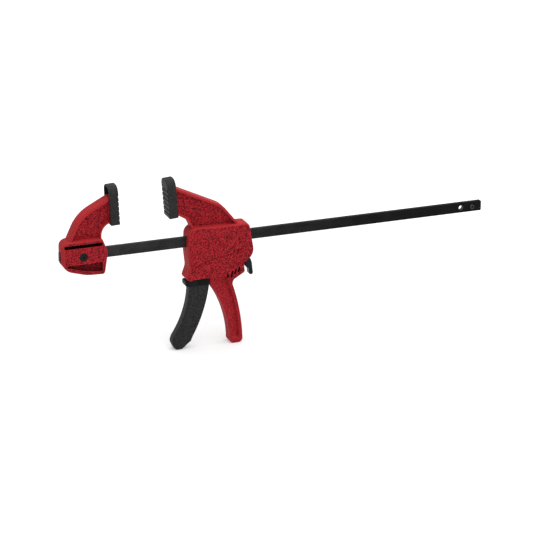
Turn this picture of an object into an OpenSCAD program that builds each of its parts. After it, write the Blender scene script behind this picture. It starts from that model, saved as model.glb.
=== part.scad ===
// One-hand quick release bar clamp.
// A flat steel bar carries a fixed jaw at one end and a sliding head with the
// moving jaw, a squeeze trigger, a pistol handle and a release lever.
// +X runs along the bar from the fixed jaw to the free end, +Z from the grips
// up to the jaws, +Y through the thickness. The origin lies under the middle
// of the bar, on the surface that the trigger and handle tips stand on.
// Modules draw in the bench frame: X from the fixed pad's lower edge, Z from
// the bar's centreline. seat() moves them to the origin.

/* [Bar] */
// Length of the bar
bar_length = 506.8; // [421.8:5:641.8]
// Height of the bar
bar_height = 12; // [10:0.5:15]
// Thickness of the bar
bar_thickness = 5; // [4:0.5:6]
// Radius of the bar's long edges
bar_edge = 0.6; // [0.2:0.1:1]
// How far the bar stands out behind the fixed jaw
bar_overhang = 1; // [0:0.5:4]
// Diameter of the hole near each end of the bar
bar_hole_d = 5.5; // [4.5:0.1:6.5]
// Distance of those holes from the bar's ends
bar_hole_inset = 25.4; // [22:0.1:29]
// Diameter of the rolled stop pin
stop_pin_d = 5; // [4:0.5:6]
// Wall of the rolled stop pin
stop_pin_wall = 1.1; // [0.6:0.1:1.4]
// Distance of the stop pin from the bar's free end
stop_pin_inset = 11.9; // [8:0.1:14]
// How far the stop pin stands out of each side of the bar
stop_pin_proud = 2; // [1:0.5:4]

/* [Pads] */
// Gap between the pads' lower edges at rest
opening = 57.4; // [20:0.1:120]
// Width of each pad
pad_width = 21.2; // [18:0.1:30]
// Height of each pad
pad_height = 45; // [42:1:56]
// Thickness of each pad over its ribs
pad_thickness = 10.5; // [9:0.5:14]
// Radius of the pad's upper corners
pad_top_r = 8; // [4:0.5:8.5]
// Height of the pads' lower edge over the bar's centreline
pad_base = 32.8; // [30:0.1:38]
// How much lower the moving pad sits
moving_pad_drop = 1; // [0:0.1:1.5]
// Wall of the pad round its socket
pad_wall = 2.2; // [1.6:0.1:3]
// Depth of the pad's socket
socket_depth = 6; // [5:0.5:7]
// Spacing of the clamping ribs
rib_pitch = 5.4; // [4:0.1:8]
// Width of the grooves between the ribs
groove_width = 1.6; // [1:0.1:2.5]
// Depth of the grooves
groove_depth = 1; // [0.5:0.1:1.5]
// Backward lean of the fixed pad, degrees
fixed_lean = 2.2; // [0:0.1:4]
// Forward lean of the moving pad, degrees
moving_lean = 4.2; // [0:0.1:6]

/* [Jaws] */
// Width of both jaw arms
arm_width = 14; // [11:0.5:16]
// Thickness of the arms' web
arm_web = 4.4; // [3:0.2:6]
// Thickness of the arms' inner flanges
flange = 2.2; // [1.8:0.1:3]
// Thickness of the fixed arm's outer flange
fixed_flange = 3.8; // [2:0.1:5]
// Thickness of the moving arm's upper flange
moving_flange = 2.8; // [2:0.1:4]
// Width of the fixed jaw's block
block_width = 20; // [17:0.5:26]
// Rounding of the block's back edges
block_end_r = 6; // [3:0.5:9.5]
// Depth of the block's slots
block_slot_depth = 7.5; // [2:0.5:8]
// Depth of the block's lower pockets
block_pocket_depth = 6; // [2:0.5:7]
// Head diameter of the fixed jaw's screw
jaw_screw_head_d = 9.4; // [8:0.2:11]
// Height of that head
jaw_screw_head_h = 2.4; // [1.8:0.1:3]
// Shank diameter of that screw
jaw_screw_d = 5; // [4:0.1:5.3]
// Width across the flats of its nut
jaw_nut_flats = 8; // [7:0.5:10]
// Height of its nut
jaw_nut_h = 4; // [3:0.2:5]

/* [Head] */
// Distance from the moving pad's lower edge to the head's front face
head_setback = 21; // [18:0.2:24]
// Side wall of the head's shells
shell_wall = 2.6; // [2:0.1:3.4]
// How far the upper side panel stands proud of the lower side
panel_step = 0.8; // [0.3:0.1:1]
// Thickness of the head's front, top and rear walls
edge_wall = 3; // [2.4:0.1:3.6]
// Depth of the grip tips below the bar's centreline
grip_drop = 126.7; // [118:0.5:135]
// Width of the handle
handle_width = 16; // [14:0.5:19]
// Depth of the recess in each side of the handle
handle_recess = 3.5; // [2:0.5:4]
// Depth of the louvres
louvre_depth = 2.6; // [1:0.2:2.8]

/* [Trigger] */
// Depth of the trigger pivot below the bar's centreline
pivot_drop = 24; // [22:0.5:25]
// Diameter of the pivot pin
pivot_pin_d = 6; // [4:0.5:7]
// Radius of the trigger's hub
hub_r = 6.5; // [5.5:0.5:7]
// Width of the trigger's hub
hub_width = 12; // [9:0.5:13]
// Width of the collar under the head
collar_width = 13.2; // [12.8:0.1:13.4]
// Width of the soft grip
grip_width = 12.6; // [11:0.2:15]
// Thickness of the soft grip over its core
grip_skin = 2.6; // [1.8:0.2:3.2]

/* [Lock] */
// Thickness of each drive plate
drive_plate_t = 3; // [2.4:0.1:3.2]
// Width of the drive plates
drive_plate_w = 15; // [13:0.5:16]
// Thickness of the brake plate
brake_plate_t = 3; // [2.4:0.1:3.4]
// Width of the brake plate
brake_plate_w = 14; // [12:0.5:16]
// Lean at which the brake plate bites, degrees
brake_tilt = 4.5; // [3:0.5:5]
// Wire of the drive spring
drive_wire = 1.2; // [0.8:0.1:1.4]
// Outer diameter of the brake spring
brake_spring_d = 7; // [5:0.5:8]
// Wire of the brake spring
brake_wire = 0.9; // [0.6:0.1:1]
// Width of the release lever's cap
lever_width = 12; // [9:0.5:12]

/* [Fits] */
// Clearance of a part that slides, on each side
slide_gap = 0.3; // [0.2:0.05:0.4]
// Radial clearance of a turning pin
running_gap = 0.05; // [0.02:0.01:0.1]
// Clearance of a seated part
seat_gap = 0.1; // [0.02:0.01:0.15]
// Clearance of a pressed pin or screw
press_gap = 0.02; // [0.01:0.01:0.04]

/* [Hidden] */
$fn = 48;
arc_step = 9;          // degrees between the points of an outline's arcs
cut = 0.5;             // how far a cutting shape runs past what it cuts
far_reach = 60;        // larger than any width, for cuts right through
shank_bite = 0.2;      // how far a screw's shank runs into its head

// places along the bar
block_back = -65.9;                          // back face of the fixed jaw's block
bar_start = block_back - bar_overhang;
bar_end = bar_start + bar_length;
jaw_hole_x = bar_start + bar_hole_inset;
spare_hole_x = bar_end - bar_hole_inset;
stop_pin_x = bar_end - stop_pin_inset;
fixed_pad_x = 0.9;                         // face of the fixed pad at its foot
moving_pad_x = fixed_pad_x + opening;      // face of the moving pad at its foot
head_x = moving_pad_x + head_setback;

// widths of the head, worked out from the spring that runs round the bar
bar_half_diagonal = sqrt(pow(bar_height, 2) + pow(bar_thickness, 2)) / 2;
drive_spring_r = bar_half_diagonal + 0.5 + drive_wire / 2;   // middle of the wire
cavity_half = drive_spring_r + drive_wire / 2 + 0.2;
panel_half = cavity_half + shell_wall;
body_half = panel_half - panel_step;
handle_half = handle_width / 2;

// places in the head, from its front face
front_plate_u = 25;                                  // front drive plate's front face
rear_plate_u = front_plate_u + drive_plate_t + 0.1;  // rear drive plate's front face
spring_start_u = rear_plate_u + drive_plate_t + 0.1;
rib_u = 47.7;                                        // front face of the spring rib
rib_t = 2.5;
plate_top = 11.5;
plate_bottom = -38;
pivot = [15.7, -pivot_drop];
nose_r = 3.6;
nose = [front_plate_u - slide_gap - nose_r, -34.5];
fulcrum = [67.3, -10];                               // edge that the brake plate rocks on
brake_spring_z = -20;
brake_rib_u = 54.2;
brake_rib_t = 2.5;
lock_half_h = bar_height / 2 + 0.2;                  // window of the drive plates
lock_half_w = bar_thickness / 2 + slide_gap;
bar_slot_half_h = bar_height / 2 + slide_gap;
bar_slot_half_w = bar_thickness / 2 + slide_gap;

// screws of the head: [along, up] from the head's front face
body_screw_at = [[9.2, 12], [56.2, 12], [58.7, -36.5]];
handle_screw_at = [[46.5, -66], [55.6, -grip_drop + 14.7]];
screw_head_d = 5.6;
screw_head_h = 2.2;
screw_d = 2.8;
boss_r = 3.4;

// ---- outlines ----------------------------------------------------------

function unit(v) = v / norm(v);

// One corner [x, z, r] as points of an arc that touches both of its edges.
function corner_arc(a, c, b) =
    let (p = [c[0], c[1]],
         u = unit([a[0], a[1]] - p),
         v = unit([b[0], b[1]] - p),
         half = acos(max(-1, min(1, u * v))) / 2,
         reach = c[2] / tan(half),
         centre = p + unit(u + v) * c[2] / sin(half),
         s = p + u * reach - centre,
         e = p + v * reach - centre,
         a0 = atan2(s[1], s[0]),
         raw = atan2(e[1], e[0]) - a0,
         sweep = raw > 180 ? raw - 360 : raw < -180 ? raw + 360 : raw,
         n = max(1, ceil(abs(sweep) / arc_step)))
    [for (i = [0:n]) centre + c[2] * [cos(a0 + sweep * i / n), sin(a0 + sweep * i / n)]];

// A closed outline from corners [x, z, r]; r = 0 stays sharp.
function outline(cs) =
    let (n = len(cs))
    [for (i = [0:n - 1])
        each (cs[i][2] > 0 ? corner_arc(cs[(i + n - 1) % n], cs[i], cs[(i + 1) % n])
                           : [[cs[i][0], cs[i][1]]])];

// Corners along a shallow arc from a to b that bulges to the left of a-to-b.
function bow(a, b, bulge, n = 8) =
    let (d = b - a, side = unit([-d[1], d[0]]))
    [for (i = [0:n]) let (t = i / n, p = a + d * t + side * bulge * 4 * t * (1 - t))
        [p[0], p[1], 0]];

// Where the edges a-c and c-b meet after both move inwards by t (outline runs clockwise).
function inset_corner(a, c, b, t) =
    let (p = [c[0], c[1]],
         d1 = unit(p - [a[0], a[1]]),
         d2 = unit([b[0], b[1]] - p),
         n1 = [d1[1], -d1[0]],
         n2 = [d2[1], -d2[0]],
         m = n1 + n2,
         turn = d1[0] * d2[1] - d1[1] * d2[0],
         q = p + m * t / (1 + n1 * n2))
    [q[0], q[1], c[2] == 0 ? 0 : max(0.2, turn < 0 ? c[2] - t : c[2] + t)];

// Corners of a clockwise outline moved inwards by t.
function inset(cs, t) =
    let (n = len(cs))
    [for (i = [0:n - 1]) inset_corner(cs[(i + n - 1) % n], cs[i], cs[(i + 1) % n], t)];

// The same, with a distance of its own for each edge; edge i runs from corner i.
function inset_walls(cs, ts) =
    let (n = len(cs))
    [for (i = [0:n - 1])
        let (a = cs[(i + n - 1) % n], c = cs[i], b = cs[(i + 1) % n],
             t1 = ts[(i + n - 1) % n], t2 = ts[i], p = [c[0], c[1]],
             d1 = unit(p - [a[0], a[1]]),
             d2 = unit([b[0], b[1]] - p),
             n1 = [d1[1], -d1[0]],
             n2 = [d2[1], -d2[0]],
             k = n1 * n2,
             q = p + (n1 * (t1 - t2 * k) + n2 * (t2 - t1 * k)) / (1 - k * k),
             turn = d1[0] * d2[1] - d1[1] * d2[0])
        [q[0], q[1], c[2] == 0 ? 0 : max(0.2, turn < 0 ? c[2] - max(t1, t2) : c[2] + t1)]];

// ---- general shapes ----------------------------------------------------

// Moves the bench frame to the part's origin.
module seat() translate([-(bar_start + bar_end) / 2, 0, grip_drop]) children();

// Moves to the head's front face.
module at_head() translate([head_x, 0, 0]) children();

// A side outline as a plate from y0 to y1.
module slab(cs, y0, y1)
    translate([0, y1, 0]) rotate([90, 0, 0]) linear_extrude(y1 - y0) polygon(outline(cs));

// A round rod along Y.
module rod_y(at, r, y0, y1)
    translate([at[0], y1, at[1]]) rotate([90, 0, 0]) cylinder(r = r, h = y1 - y0);

// A box from one corner to the other.
module block(low, high) translate(low) cube(high - low);

// A helical tube along +X from x = 0, as one closed mesh.
module coil(r, wire, length, turns, rings = 8, sides = 6) {
    steps = turns * rings;
    points = [for (i = [0:steps]) let (t = i / steps, a = 360 * turns * t)
        for (k = [0:sides - 1]) let (b = 360 * k / sides)
            [wire / 2 + (length - wire) * t + wire / 2 * sin(b),
             (r + wire / 2 * cos(b)) * cos(a),
             (r + wire / 2 * cos(b)) * sin(a)]];
    walls = [for (i = [0:steps - 1]) for (k = [0:sides - 1])
        let (p = i * sides + k, q = i * sides + (k + 1) % sides)
            each [[p, q, q + sides], [p, q + sides, p + sides]]];
    caps = [[for (k = [sides - 1:-1:0]) k],
            [for (k = [0:sides - 1]) steps * sides + k]];
    echo(coil_gap = (length - wire) / turns - wire);
    polyhedron(points, concat(walls, caps));
}

// A pan screw along Y whose head faces +Y at y. The shank runs a little way into the
// head, so that the two stay one solid at any size.
module pan_screw(at, y, tip) {
    difference() {
        rod_y(at, screw_head_d / 2, y - screw_head_h, y);
        for (a = [0, 90])
            translate([at[0], y, at[1]]) rotate([0, a, 0])
                cube([3.4, 2.4, 0.8], center = true);
    }
    rod_y(at, screw_d / 2, tip, y - screw_head_h + shank_bite);
}

// ---- bar ---------------------------------------------------------------

module bar() color("#2b2d2e") seat() difference() {
    over = bar_height / 2 + 0.4;
    intersection() {
        translate([bar_start - cut, 0, 0]) rotate([90, 0, 90]) linear_extrude(bar_length + 1)
            polygon(outline([[-bar_thickness / 2, -bar_height / 2, bar_edge],
                             [-bar_thickness / 2, bar_height / 2, bar_edge],
                             [bar_thickness / 2, bar_height / 2, bar_edge],
                             [bar_thickness / 2, -bar_height / 2, bar_edge]]));
        slab([[bar_start, -over, 2], [bar_start, over, 2], [bar_end, over, 2],
              [bar_end, -over, 2]], -bar_thickness, bar_thickness);
    }
    for (x = [jaw_hole_x, spare_hole_x])
        rod_y([x, 0], bar_hole_d / 2, -bar_thickness, bar_thickness);
    rod_y([stop_pin_x, 0], stop_pin_d / 2 + press_gap, -bar_thickness, bar_thickness);
}

module stop_pin() color("#4a4c4d") seat() {
    reach = bar_thickness / 2 + stop_pin_proud;
    difference() {
        rod_y([stop_pin_x, 0], stop_pin_d / 2, -reach, reach);
        rod_y([stop_pin_x, 0], stop_pin_d / 2 - stop_pin_wall, -reach - cut, reach + cut);
        block([stop_pin_x, -reach - cut, -0.4], [stop_pin_x + stop_pin_d, reach + cut, 0.4]);
    }
}

// ---- pads --------------------------------------------------------------

// The pad's frame: face plane at x = 0, lower edge at z = 0, back towards -X.
function arch(half, low, high, r_low, r_top) =
    [[-half, low, r_low], [-half, high, r_top], [half, high, r_top], [half, low, r_low]];

module along_x(cs, x0, x1)
    translate([x0, 0, 0]) rotate([90, 0, 90]) linear_extrude(x1 - x0) polygon(outline(cs));

module pad_shape() {
    ribs = floor((pad_height - pad_top_r) / rib_pitch);
    difference() {
        along_x(arch(pad_width / 2, 0, pad_height, 1.5, pad_top_r), -pad_thickness, 0);
        along_x(arch(pad_width / 2 - pad_wall, pad_wall, pad_height - pad_wall, 0.8,
                     pad_top_r - pad_wall),
                -pad_thickness - cut, -pad_thickness + socket_depth);
        for (i = [1:ribs])
            block([-groove_depth, -pad_width, i * rib_pitch - groove_width / 2],
                  [cut, pad_width, i * rib_pitch + groove_width / 2]);
    }
}

// What fills the pad's socket: a plate, and a tenon that ties it to the arm.
module pad_plate() {
    reach = pad_wall + seat_gap;
    along_x(arch(pad_width / 2 - reach, reach, pad_height - 13, 0.7, 3),
            -pad_thickness + 0.8, -pad_thickness + socket_depth - seat_gap);
    block([-pad_thickness - 0.7, -5.5, 4], [-pad_thickness + 1.5, 5.5, 29]);
}

module at_fixed_pad()
    translate([fixed_pad_x, 0, pad_base]) rotate([0, -fixed_lean, 0]) children();
module at_moving_pad()
    translate([moving_pad_x, 0, pad_base - moving_pad_drop]) rotate([0, -moving_lean, 0])
        mirror([1, 0, 0]) children();

module fixed_jaw_pad() color("#35373a") seat() at_fixed_pad() pad_shape();
module moving_jaw_pad() color("#35373a") seat() at_moving_pad() pad_shape();

// Everything in front of the pad's back face, which an arm stays clear of.
module pad_side() block([-pad_thickness - seat_gap, -far_reach, -far_reach],
                        [far_reach, far_reach, 2 * far_reach]);

// ---- fixed jaw ---------------------------------------------------------

fixed_arm = [[-60.8, 12, 0], [-44.9, 46.6, 45], [-5, 67.2, 0], [-5, 35.6, 0],
             [-19.6, 35.6, 14.2], [-19.6, 12, 0]];
fixed_walls = [fixed_flange, fixed_flange, flange, flange, flange, flange];
fixed_block = [[block_back, 18.9, 10], [-19.4, 18.9, 3], [-13.1, 3, 12], [-17.2, -22.8, 3.5],
               [-38, -22, 40], [block_back, -13.7, 15]];
block_slot = [[-63.2, 14.8, 1.8], [-19.4, 14.8, 1.8], [-19.4, 11, 1.8], [-63.2, 11, 1.8]];
block_pocket = [[-60, -8.2, 1], [-20, -8.1, 1.2], [-20, -19, 1.6], [-41, -16.3, 20],
                [-60, -10.6, 1]];

// An I-section arm: a web between two flanges.
module i_arm(cs, walls, y0, y1) {
    difference() {
        slab(cs, y0, y1);
        slab(inset_walls(cs, walls), -far_reach, -arm_web / 2);
        slab(inset_walls(cs, walls), arm_web / 2, far_reach);
    }
}

// The fixed jaw's block, with the back edges rounded in plan.
module fixed_block_solid(half) intersection() {
    end_r = min(block_end_r, half - 0.5);
    slab(fixed_block, -half, half);
    translate([0, 0, -far_reach]) linear_extrude(2 * far_reach)
        polygon(outline([[block_back, half, end_r], [far_reach, half + cut, 0],
                         [far_reach, -half - cut, 0], [block_back, -half, end_r]]));
}

module fixed_jaw() color("#a3262f") seat() {
    half = block_width / 2;
    hole_r = jaw_screw_d / 2 + 0.15;
    difference() {
        union() {
            difference() {
                i_arm(fixed_arm, fixed_walls, -arm_width / 2, arm_width / 2);
                at_fixed_pad() pad_side();
            }
            at_fixed_pad() pad_plate();
            fixed_block_solid(half);
        }
        block([block_back - cut, -bar_thickness / 2 - seat_gap, -bar_height / 2 - seat_gap],
              [0, bar_thickness / 2 + seat_gap, bar_height / 2 + seat_gap]);
        for (side = [-1, 1])
            for (hollow = [[block_slot, block_slot_depth], [block_pocket, block_pocket_depth]])
                slab(hollow[0], side > 0 ? half - hollow[1] : -half - cut,
                     side > 0 ? half + cut : -half + hollow[1]);
        rod_y([jaw_hole_x, 0], hole_r, -half - cut, half + cut);
        rod_y([jaw_hole_x, 0], jaw_screw_head_d / 2 + 0.2, -half - cut,
              -half + jaw_screw_head_h + 0.2);
        translate([jaw_hole_x, half + cut, 0]) rotate([90, 0, 0])
            cylinder(r = (jaw_nut_flats / 2 + seat_gap) / cos(30), h = jaw_nut_h + 0.4 + cut,
                     $fn = 6);
    }
}

module jaw_screw() color("#26302f") seat() {
    top = block_width / 2 - 0.2;
    difference() {
        rod_y([jaw_hole_x, 0], jaw_screw_head_d / 2, -top, -top + jaw_screw_head_h);
        translate([jaw_hole_x, -top + 1.5, 0]) rotate([90, 0, 0])
            cylinder(r = 1.5 / cos(30), h = 1.5 + cut, $fn = 6);
    }
    rod_y([jaw_hole_x, 0], jaw_screw_d / 2, -top + jaw_screw_head_h - shank_bite,
          block_width / 2 - 0.8);
}

module jaw_nut() color("#5b5e60") seat() difference() {
    top = block_width / 2 - 0.4;
    translate([jaw_hole_x, top, 0]) rotate([90, 0, 0])
        cylinder(r = jaw_nut_flats / 2 / cos(30), h = jaw_nut_h, $fn = 6);
    rod_y([jaw_hole_x, 0], jaw_screw_d / 2 + press_gap, top - jaw_nut_h - cut, top + cut);
}

// ---- head: outlines in the head's own frame -----------------------------

moving_arm = [[-25, 72.3, 0], [42.3, 39.7, 25], [66, 9.7, 0], [9.2, 9.7, 0],
              [1.2, 27.2, 7], [-25, 42.9, 0]];
moving_walls = [moving_flange, moving_flange, flange, flange, flange, flange];
body = [[1.1, 18, 10], [72.9, 16.1, 5.5], [78.9, -21, 14], [66.3, -30.9, 1], [67.5, -41.3, 3],
        [53.5, -49.3, 2.5], [44, -43.8, 0], [6, -43.8, 0], [3.4, -45.4, 2.4],
        [-2.4, -42.6, 2.6], [2, -30, 12], [0, -12, 30]];
// Below this line the sides step in from the upper panel.
below_panel = [[-20, -54, 0], [12, -25.2, 25], [28, -20.4, 50], [54.7, -16.6, 50],
               [90, 3.5, 0], [90, -70, 0], [-20, -70, 0]];
tip_z = -grip_drop;
handle = concat([[26.6, -40, 0], [56, -40, 0], [57.9, -45.5, 0], [53.8, -52, 6]],
                bow([53.4, -55], [65, tip_z + 6], 2.4),
                [[65.3, tip_z, 5.5], [49.2, tip_z, 4.5]],
                bow([49.8, tip_z + 6], [34.3, -64.5], -3.3),
                [[26.6, -52, 0]]);
handle_hollow = concat([[36, -41.5, 0], [45.2, -41.5, 0], [46.4, -46.5, 2]],
                       bow([48, -51], [60.3, tip_z + 10], 2.6),
                       [[59.8, tip_z + 6, 2.5], [51.2, tip_z + 6, 2.5]],
                       bow([51.3, tip_z + 11], [36.2, -64], -3.1),
                       [[33.6, -58, 4]]);
// Clear space for the trigger, between the front wall and the handle.
trigger_well = [[3.5, -34, 0], [32.2, -34, 0], [32.2, -62, 0], [3.5, -62, 0]];
well_half = collar_width / 2 + 0.4;
// Clear space for the lever where it comes out at the lower rear corner.
lever_gate = [[66, -21.6, 0], [73.2, -21.6, 0], [75, -23.8, 0], [84, -31, 0],
              [84, -37, 0], [66, -37, 0]];
// One louvre, and where each one stands: [along, up, height].
louvres = [[46.9, -43.6, 4.6], [51.6, -42.3, 8.4], [55.8, -39.4, 6.4], [60, -37.8, 5.8]];
louvre_slant = [-18, 13, 13, 13];

// The outside of one shell, from y = -w to the middle.
module shell_outside() {
    difference() {
        i_arm(moving_arm, moving_walls, -arm_width / 2, 0);
        translate([-head_x, 0, 0]) at_moving_pad() pad_side();
    }
    intersection() {
        translate([-head_x, 0, 0]) at_moving_pad() pad_plate();
        block([-far_reach, -far_reach, 0], [0, 0, 2 * far_reach]);
    }
    difference() {
        slab(body, -panel_half, 0);
        slab(below_panel, -far_reach, -body_half);
    }
    difference() {
        slab(handle, -handle_half, 0);
        slab(handle_hollow, -far_reach, -handle_half + handle_recess);
    }
}

// The hollow for the mechanism.
module shell_hollow() {
    intersection() {
        slab(inset(body, edge_wall), -cavity_half, cut);
        union() {
            block([-10, -far_reach, -29.5], [90, far_reach, 20]);
            block([-10, -far_reach, -60], [front_plate_u + 8.8, far_reach, -29]);
        }
    }
    slab(trigger_well, -well_half, cut);
}

// Ribs and bosses inside one shell.
module shell_ribs() {
    wall = cavity_half + 0.3;
    block([rib_u, -wall, -30], [rib_u + rib_t, 0, 15.5]);
    block([brake_rib_u, -wall, -30], [brake_rib_u + brake_rib_t, 0, -14]);
    block([62, -wall, -13], [fulcrum[0] - 0.4, 0, -8.2]);
    block([front_plate_u - 3, -wall, 8.2], [front_plate_u - slide_gap, 0, 16]);
    rod_y(pivot, pivot_pin_d / 2 + 2, -wall, -hub_width / 2 - slide_gap);
    for (at = body_screw_at) rod_y(at, boss_r, -wall, 0);
}

// One shell with every opening that both shells share.
module shell() difference() {
    union() {
        difference() {
            shell_outside();
            shell_hollow();
        }
        shell_ribs();
    }
    block([-10, -bar_slot_half_w, -bar_slot_half_h], [90, cut, bar_slot_half_h]);
    slab(lever_gate, -lever_width / 2 - 0.4, cut);
    rod_y(pivot, pivot_pin_d / 2 + press_gap, -cavity_half - 0.7, cut);
    for (i = [0:len(louvres) - 1])
        translate([louvres[i][0], 0, louvres[i][1]]) rotate([0, louvre_slant[i], 0])
            block([-0.95, -body_half - cut, -louvres[i][2] / 2],
                  [0.95, -body_half + louvre_depth, louvres[i][2] / 2]);
}

module moving_jaw_near() color("#a3262f") seat() at_head() difference() {
    shell();
    for (at = body_screw_at) rod_y(at, screw_d / 2 + press_gap, -cavity_half + 1, cut);
    for (at = handle_screw_at) rod_y(at, screw_d / 2 + press_gap, -3.6, cut);
}

module moving_jaw_far() color("#a3262f") seat() at_head() difference() {
    mirror([0, 1, 0]) shell();
    for (at = body_screw_at) {
        rod_y(at, screw_d / 2 + 0.1, -cut, far_reach);
        rod_y(at, screw_head_d / 2 + 0.2, body_screw_y - screw_head_h, far_reach);
    }
    for (at = handle_screw_at) {
        rod_y(at, screw_d / 2 + 0.1, -cut, far_reach);
        rod_y(at, screw_head_d / 2 + 0.2, handle_screw_y - screw_head_h, far_reach);
    }
}

// Outer faces of the screw heads.
body_screw_y = body_half - 0.4;
handle_screw_y = handle_half - handle_recess - 0.1;

module body_screws() color("#6a6d6f") seat() at_head()
    for (at = body_screw_at) pan_screw(at, body_screw_y, -cavity_half + 1.5);

module handle_screws() color("#6a6d6f") seat() at_head()
    for (at = handle_screw_at) pan_screw(at, handle_screw_y, -3.3);

// ---- trigger -----------------------------------------------------------

function grip_outline(top) = concat(
    [[2.2, top, 0]],
    [[26.3, top, 0]],
    bow([26.3, -52.4], [6.3, tip_z + 14.3], 3),
    [[3.9, tip_z + 8.8, 4], [-7, tip_z, 4], [-15, tip_z, 5], [-18.9, tip_z + 9.5, 6]],
    bow([-16.9, tip_z + 15.7], [2.2, -52.4], -4.4));

neck = [[9.5, -pivot_drop, 0], [21.6, -pivot_drop, 0], [23.4, -33, 0], [22.6, -37.6, 1],
        [21, -40.2, 1.5], [22.2, -43.2, 1.5], [24.6, -46.5, 0], [3.9, -46.5, 0],
        [3.9, -40, 2], [7, -33, 4]];
collar = [[-2.4, -45.3, 1.6], [1, -45.4, 0], [3.9, -46.2, 0], [5.3, -45.2, 0],
          [26.3, -45.2, 1], [26.1, -52.3, 1], [1.4, -52.3, 1], [-1.9, -51.4, 1.3]];

module trigger() color("#26282a") seat() at_head() difference() {
    half = hub_width / 2;
    union() {
        rod_y(pivot, hub_r, -half, half);
        rod_y(nose, nose_r, -half, half);
        slab(neck, -half, half);
        slab(collar, -collar_width / 2, collar_width / 2);
        slab(inset(grip_outline(-50 + grip_skin), grip_skin), -grip_width / 2 + grip_skin,
             grip_width / 2 - grip_skin);
    }
    rod_y(pivot, pivot_pin_d / 2 + running_gap, -half - cut, half + cut);
}

module trigger_grip() color("#2f3133") seat() at_head() difference() {
    slab(grip_outline(-52.4), -grip_width / 2, grip_width / 2);
    slab(inset(grip_outline(-52.4 + grip_skin + cut), grip_skin - press_gap),
         -grip_width / 2 + grip_skin - press_gap, grip_width / 2 - grip_skin + press_gap);
}

module trigger_pivot_pin() color("#8a8d90") seat() at_head()
    rod_y(pivot, pivot_pin_d / 2, -cavity_half - 0.6, cavity_half + 0.6);

// ---- drive and brake ---------------------------------------------------

module drive_plate(u) difference() {
    block([u, -drive_plate_w / 2, plate_bottom],
          [u + drive_plate_t, drive_plate_w / 2, plate_top]);
    block([u - cut, -lock_half_w, -lock_half_h],
          [u + drive_plate_t + cut, lock_half_w, lock_half_h]);
}

module drive_plate_front() color("#7d8083") seat() at_head() drive_plate(front_plate_u);
module drive_plate_rear() color("#7d8083") seat() at_head() drive_plate(rear_plate_u);

module drive_spring() color("#9a9da0") seat() at_head()
    translate([spring_start_u, 0, 0])
        coil(drive_spring_r, drive_wire, rib_u - 0.2 - spring_start_u, 5);

// The brake plate's frame: upright, its front face on the fulcrum.
module at_brake() translate([fulcrum[0], 0, fulcrum[1]]) rotate([0, -brake_tilt, 0]) children();
window_half = bar_height / 2 + brake_plate_t * sin(brake_tilt) / 2 + 0.08;

module brake_plate() color("#7d8083") seat() at_head() at_brake() difference() {
    union() {
        block([0, -brake_plate_w / 2, -12], [brake_plate_t, brake_plate_w / 2, 19.8]);
        block([0, -4.5, -22], [brake_plate_t, 4.5, -12 + cut]);
    }
    block([-cut, -lock_half_w, 9.9 - window_half],
          [brake_plate_t + cut, lock_half_w, 9.9 + window_half]);
}

module brake_spring() color("#9a9da0") seat() at_head() {
    start = brake_rib_u + brake_rib_t + 0.1;
    end = fulcrum[0] + (fulcrum[1] - brake_spring_z) * sin(brake_tilt) - 0.3;
    translate([start, 0, brake_spring_z])
        coil((brake_spring_d - brake_wire) / 2, brake_wire, end - start, 5);
}

lever_head = [[69.1, -27.5, 0.8], [75.6, -27.5, 1.5], [77.2, -33, 2], [77.8, -39, 0],
              [74.3, -39.6, 0], [70.8, -38.4, 1.3], [69.1, -35.6, 1]];
lever_tongue = [[73.6, -34, 0], [77.6, -34, 0], [79.1, -46.1, 1.9], [77, -48.1, 1.2],
                [74.4, -46.7, 1.2]];

module release_lever() color("#1e2022") seat() at_head() difference() {
    union() {
        slab(lever_head, -lever_width / 2, lever_width / 2);
        slab(lever_tongue, -lever_width / 2 + 1.5, lever_width / 2 - 1.5);
    }
    at_brake() block([-3, -4.5 - press_gap, -22 - seat_gap],
                     [brake_plate_t + press_gap, 4.5 + press_gap, -10]);
}

// ---- which piece is drawn ----------------------------------------------

bar();
stop_pin();
fixed_jaw();
fixed_jaw_pad();
jaw_screw();
jaw_nut();
moving_jaw_near();
moving_jaw_far();
moving_jaw_pad();
body_screws();
handle_screws();
trigger_pivot_pin();
trigger();
trigger_grip();
drive_plate_front();
drive_plate_rear();
drive_spring();
brake_plate();
brake_spring();
release_lever();
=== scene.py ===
# %% [markdown]
# # A quick release bar clamp
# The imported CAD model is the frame. It gives the real sizes and says which
# pieces move together. This script keeps the steel pieces of that frame and
# models the moulded ones again, with rounded edges and grained surfaces.

# %% Load the frame
import math

import bmesh
import bpy
from mathutils import Matrix, Vector


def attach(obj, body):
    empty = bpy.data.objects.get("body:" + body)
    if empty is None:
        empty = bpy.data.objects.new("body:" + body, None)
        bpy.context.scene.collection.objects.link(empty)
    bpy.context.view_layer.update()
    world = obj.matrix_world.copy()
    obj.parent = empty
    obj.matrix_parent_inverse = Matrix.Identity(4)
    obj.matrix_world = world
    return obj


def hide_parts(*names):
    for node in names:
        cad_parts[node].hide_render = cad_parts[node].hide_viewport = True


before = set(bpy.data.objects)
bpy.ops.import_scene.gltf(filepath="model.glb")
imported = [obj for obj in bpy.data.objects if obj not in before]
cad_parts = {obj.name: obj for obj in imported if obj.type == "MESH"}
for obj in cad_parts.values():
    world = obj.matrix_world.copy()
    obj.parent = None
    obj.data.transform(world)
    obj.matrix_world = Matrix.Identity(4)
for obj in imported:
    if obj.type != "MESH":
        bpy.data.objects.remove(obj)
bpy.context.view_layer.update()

# %% [markdown]
# ## Where things are
# A maker measures a clamp from its fixed pad and its bar, so the numbers below
# are millimetres from there: x along the bar, z above the bar's middle line,
# y through the thickness. The frame has its origin under the bar's middle, so
# one function changes from the bench's numbers to the frame's metres.

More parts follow.
